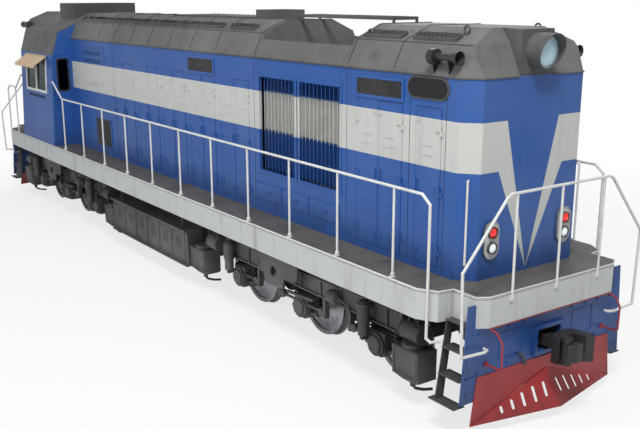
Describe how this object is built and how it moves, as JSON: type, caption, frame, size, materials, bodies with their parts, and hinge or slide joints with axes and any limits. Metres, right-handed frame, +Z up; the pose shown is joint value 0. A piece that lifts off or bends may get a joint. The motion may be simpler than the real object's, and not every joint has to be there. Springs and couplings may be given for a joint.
{
  "type": "diesel locomotive",
  "caption": "Blue diesel shunting locomotive with a long hood, full-width cab and short hood on a platform frame over bogies, with swinging couplers and hinged doors.",
  "frame": {"origin": "on the floor under the middle of the platform", "axes": "+X toward the long-hood end, +Y to the left side, +Z up"},
  "size_m": [18.16, 3.654, 4.9209],
  "materials": {
    "hood_blue_paint": "satin",
    "sill_grey_paint": "satin",
    "rail_white_paint": "satin",
    "roof_grey_paint": "matte",
    "running_gear_black": "matte",
    "motor_grey_paint": "matte",
    "box_grey_paint": "matte",
    "signal_red_paint": "satin",
    "wheel_steel": "worn",
    "coupler_iron": "matte",
    "fan_metal": "satin",
    "engine_green_paint": "satin",
    "window_glass": "clear",
    "awning_cloth": "woven",
    "desk_green_paint": "satin",
    "seat_hide": "worn"
  },
  "bodies": {
    "frame": {"underframe": "running_gear_black", "platform": "sill_grey_paint", "end_plates": "hood_blue_paint", "rail_guards": "signal_red_paint", "step_ladders": "running_gear_black", "handrails": "rail_white_paint", "coupling_rods": "signal_red_paint", "battery_boxes": "box_grey_paint", "fuel_tank": "running_gear_black", "air_reservoirs": "running_gear_black", "sand_boxes": "box_grey_paint", "hood_walls": "hood_blue_paint", "hood_roof": "roof_grey_paint", "radiator_shutters": "hood_blue_paint", "engine_block": "engine_green_paint", "cab_walls": "hood_blue_paint", "cab_roof": "roof_grey_paint", "cab_windows": "window_glass", "awnings": "awning_cloth", "lamps": "roof_grey_paint", "horns": "roof_grey_paint", "roof_fittings": "roof_grey_paint", "control_desk": "desk_green_paint", "driver_seats": "seat_hide"},
    "bogie_front": {"bogie_frame_front": "running_gear_black", "axle_boxes_front": "running_gear_black", "suspension_front": "running_gear_black", "traction_motors_front": "motor_grey_paint"},
    "bogie_rear": {"bogie_frame_rear": "running_gear_black", "axle_boxes_rear": "running_gear_black", "suspension_rear": "running_gear_black", "traction_motors_rear": "motor_grey_paint"},
    "wheelset_1": {"wheelset_1": "wheel_steel"},
    "wheelset_2": {"wheelset_2": "wheel_steel"},
    "wheelset_3": {"wheelset_3": "wheel_steel"},
    "wheelset_4": {"wheelset_4": "wheel_steel"},
    "wheelset_5": {"wheelset_5": "wheel_steel"},
    "wheelset_6": {"wheelset_6": "wheel_steel"},
    "coupler_front": {"coupler_front": "coupler_iron"},
    "knuckle_front": {"knuckle_front": "coupler_iron"},
    "coupler_rear": {"coupler_rear": "coupler_iron"},
    "knuckle_rear": {"knuckle_rear": "coupler_iron"},
    "radiator_fan": {"radiator_fan": "fan_metal"},
    "cab_door_front": {"cab_door_front": "hood_blue_paint"},
    "cab_door_rear": {"cab_door_rear": "hood_blue_paint"},
    "engine_door_right_1": {"engine_door_right_1": "hood_blue_paint"},
    "engine_door_right_2": {"engine_door_right_2": "hood_blue_paint"},
    "engine_door_right_3": {"engine_door_right_3": "hood_blue_paint"},
    "engine_door_right_4": {"engine_door_right_4": "hood_blue_paint"},
    "engine_door_right_5": {"engine_door_right_5": "hood_blue_paint"},
    "cooler_door_right": {"cooler_door_right": "hood_blue_paint"},
    "nose_door_right": {"nose_door_right": "hood_blue_paint"},
    "engine_door_left_1": {"engine_door_left_1": "hood_blue_paint"},
    "engine_door_left_2": {"engine_door_left_2": "hood_blue_paint"},
    "engine_door_left_3": {"engine_door_left_3": "hood_blue_paint"},
    "engine_door_left_4": {"engine_door_left_4": "hood_blue_paint"},
    "engine_door_left_5": {"engine_door_left_5": "hood_blue_paint"},
    "cooler_door_left": {"cooler_door_left": "hood_blue_paint"},
    "nose_door_left": {"nose_door_left": "hood_blue_paint"}
  },
  "joints": [
    {"name": "bogie_front_pivot", "type": "hinge", "parent": "frame", "child": "bogie_front", "pos_m": [4.9, 0, 1], "axis": [0, 0, 1], "range_deg": [-2.5, 2.5]},
    {"name": "bogie_rear_pivot", "type": "hinge", "parent": "frame", "child": "bogie_rear", "pos_m": [-4.9, 0, 1], "axis": [0, 0, 1], "range_deg": [-2.5, 2.5]},
    {"name": "wheelset_1_spin", "type": "hinge", "parent": "bogie_front", "child": "wheelset_1", "pos_m": [6.7, 0, 0.553], "axis": [0, 1, 0], "continuous": true},
    {"name": "wheelset_2_spin", "type": "hinge", "parent": "bogie_front", "child": "wheelset_2", "pos_m": [4.9, 0, 0.553], "axis": [0, 1, 0], "continuous": true},
    {"name": "wheelset_3_spin", "type": "hinge", "parent": "bogie_front", "child": "wheelset_3", "pos_m": [3.1, 0, 0.553], "axis": [0, 1, 0], "continuous": true},
    {"name": "wheelset_4_spin", "type": "hinge", "parent": "bogie_rear", "child": "wheelset_4", "pos_m": [-3.1, 0, 0.553], "axis": [0, 1, 0], "continuous": true},
    {"name": "wheelset_5_spin", "type": "hinge", "parent": "bogie_rear", "child": "wheelset_5", "pos_m": [-4.9, 0, 0.553], "axis": [0, 1, 0], "continuous": true},
    {"name": "wheelset_6_spin", "type": "hinge", "parent": "bogie_rear", "child": "wheelset_6", "pos_m": [-6.7, 0, 0.553], "axis": [0, 1, 0], "continuous": true},
    {"name": "coupler_front_swing", "type": "hinge", "parent": "frame", "child": "coupler_front", "pos_m": [7.7, 0, 0.94], "axis": [0, 0, 1], "range_deg": [-5, 5]},
    {"name": "knuckle_front_open", "type": "hinge", "parent": "coupler_front", "child": "knuckle_front", "pos_m": [8.94, -0.125, 0.94], "axis": [0, 0, -1], "range_deg": [0, 45]},
    {"name": "coupler_rear_swing", "type": "hinge", "parent": "frame", "child": "coupler_rear", "pos_m": [-7.7, 0, 0.94], "axis": [0, 0, 1], "range_deg": [-5, 5]},
    {"name": "knuckle_rear_open", "type": "hinge", "parent": "coupler_rear", "child": "knuckle_rear", "pos_m": [-8.94, 0.125, 0.94], "axis": [0, 0, -1], "range_deg": [0, 45]},
    {"name": "radiator_fan_spin", "type": "hinge", "parent": "frame", "child": "radiator_fan", "pos_m": [4.56, 0, 4.2], "axis": [0, 0, 1], "continuous": true},
    {"name": "cab_door_front_hinge", "type": "hinge", "parent": "frame", "child": "cab_door_front", "pos_m": [-4.597, -1.091, 2.8], "axis": [0, 0, 1], "range_deg": [0, 88]},
    {"name": "cab_door_rear_hinge", "type": "hinge", "parent": "frame", "child": "cab_door_rear", "pos_m": [-6.831, 1.091, 2.8], "axis": [0, 0, 1], "range_deg": [0, 88]},
    {"name": "engine_door_right_1_hinge", "type": "hinge", "parent": "frame", "child": "engine_door_right_1", "pos_m": [-1.236, -1.055, 2.8], "axis": [0, 0, 1], "range_deg": [0, 110]},
    {"name": "engine_door_right_2_hinge", "type": "hinge", "parent": "frame", "child": "engine_door_right_2", "pos_m": [-0.129, -1.055, 2.8], "axis": [0, 0, 1], "range_deg": [0, 110]},
    {"name": "engine_door_right_3_hinge", "type": "hinge", "parent": "frame", "child": "engine_door_right_3", "pos_m": [0.978, -1.055, 2.8], "axis": [0, 0, 1], "range_deg": [0, 110]},
    {"name": "engine_door_right_4_hinge", "type": "hinge", "parent": "frame", "child": "engine_door_right_4", "pos_m": [2.085, -1.055, 2.8], "axis": [0, 0, 1], "range_deg": [0, 110]},
    {"name": "engine_door_right_5_hinge", "type": "hinge", "parent": "frame", "child": "engine_door_right_5", "pos_m": [3.192, -1.055, 2.8], "axis": [0, 0, 1], "range_deg": [0, 110]},
    {"name": "cooler_door_right_hinge", "type": "hinge", "parent": "frame", "child": "cooler_door_right", "pos_m": [6.908, -1.055, 2.8], "axis": [0, 0, 1], "range_deg": [0, 110]},
    {"name": "nose_door_right_hinge", "type": "hinge", "parent": "frame", "child": "nose_door_right", "pos_m": [7.614, -1.055, 2.8], "axis": [0, 0, 1], "range_deg": [0, 110]},
    {"name": "engine_door_left_1_hinge", "type": "hinge", "parent": "frame", "child": "engine_door_left_1", "pos_m": [-1.236, 1.055, 2.8], "axis": [0, 0, -1], "range_deg": [0, 110]},
    {"name": "engine_door_left_2_hinge", "type": "hinge", "parent": "frame", "child": "engine_door_left_2", "pos_m": [-0.129, 1.055, 2.8], "axis": [0, 0, -1], "range_deg": [0, 110]},
    {"name": "engine_door_left_3_hinge", "type": "hinge", "parent": "frame", "child": "engine_door_left_3", "pos_m": [0.978, 1.055, 2.8], "axis": [0, 0, -1], "range_deg": [0, 110]},
    {"name": "engine_door_left_4_hinge", "type": "hinge", "parent": "frame", "child": "engine_door_left_4", "pos_m": [2.085, 1.055, 2.8], "axis": [0, 0, -1], "range_deg": [0, 110]},
    {"name": "engine_door_left_5_hinge", "type": "hinge", "parent": "frame", "child": "engine_door_left_5", "pos_m": [3.192, 1.055, 2.8], "axis": [0, 0, -1], "range_deg": [0, 110]},
    {"name": "cooler_door_left_hinge", "type": "hinge", "parent": "frame", "child": "cooler_door_left", "pos_m": [6.908, 1.055, 2.8], "axis": [0, 0, -1], "range_deg": [0, 110]},
    {"name": "nose_door_left_hinge", "type": "hinge", "parent": "frame", "child": "nose_door_left", "pos_m": [7.614, 1.055, 2.8], "axis": [0, 0, -1], "range_deg": [0, 110]}
  ]
}
